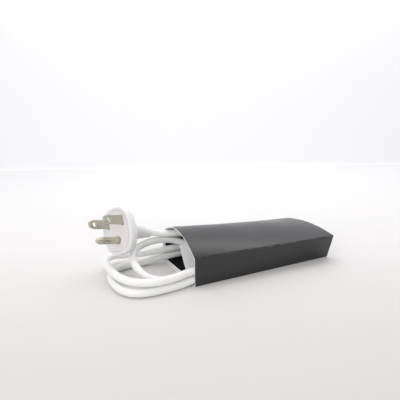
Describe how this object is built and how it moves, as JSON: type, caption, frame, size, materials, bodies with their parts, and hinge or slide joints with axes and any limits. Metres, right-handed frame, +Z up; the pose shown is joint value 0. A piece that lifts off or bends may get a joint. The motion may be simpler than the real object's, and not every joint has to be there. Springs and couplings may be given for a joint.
{
  "type": "power cord",
  "caption": "White grounded mains power cord folded into a hank and held by a black card sleeve, its three-pin plug lying on the loops at the sleeve's mouth.",
  "frame": {"origin": "centre of the sleeve's base, on the resting plane", "axes": "+X along the sleeve, away from the mouth the plug lies in front of; +Y towards the sleeve's back; +Z up"},
  "size_m": [0.1575, 0.0686, 0.0448],
  "materials": {
    "sleeve_card": "black printed face, white inside and at the cut edges",
    "moulding": "satin white PVC",
    "plug_face": "satin light grey",
    "cord_jacket": "satin white PVC",
    "pin_metal": "nickel plate",
    "contact_metal": "bare",
    "dark_moulding": "matt",
    "line_core": "satin",
    "neutral_core": "satin",
    "earth_core": "satin"
  },
  "bodies": {
    "bundle": {"card_insert": "sleeve_card", "connector_body": "moulding", "connector_insert": "dark_moulding", "connector_strain_relief": "moulding", "cord_inner_loop": "cord_jacket", "cord_lower_loop": "cord_jacket", "cord_outer_loop": "cord_jacket", "cord_plug_lead": "cord_jacket", "earth_connector_core": "earth_core", "earth_contact": "contact_metal", "earth_core": "earth_core", "earth_crimp": "contact_metal", "earth_pin": "pin_metal", "line_blade": "pin_metal", "line_connector_core": "line_core", "line_contact": "contact_metal", "line_core": "line_core", "line_crimp": "contact_metal", "neutral_blade": "pin_metal", "neutral_connector_core": "neutral_core", "neutral_contact": "contact_metal", "neutral_core": "neutral_core", "neutral_crimp": "contact_metal", "pin_carrier": "plug_face", "plug_body": "moulding", "plug_strain_relief": "moulding"},
    "sleeve": {"card_sleeve": "sleeve_card"}
  },
  "joints": [
    {"name": "sleeve_slide", "type": "slide", "parent": "bundle", "child": "sleeve", "axis": [1, 0, 0], "range_m": [0, 0.11]}
  ]
}
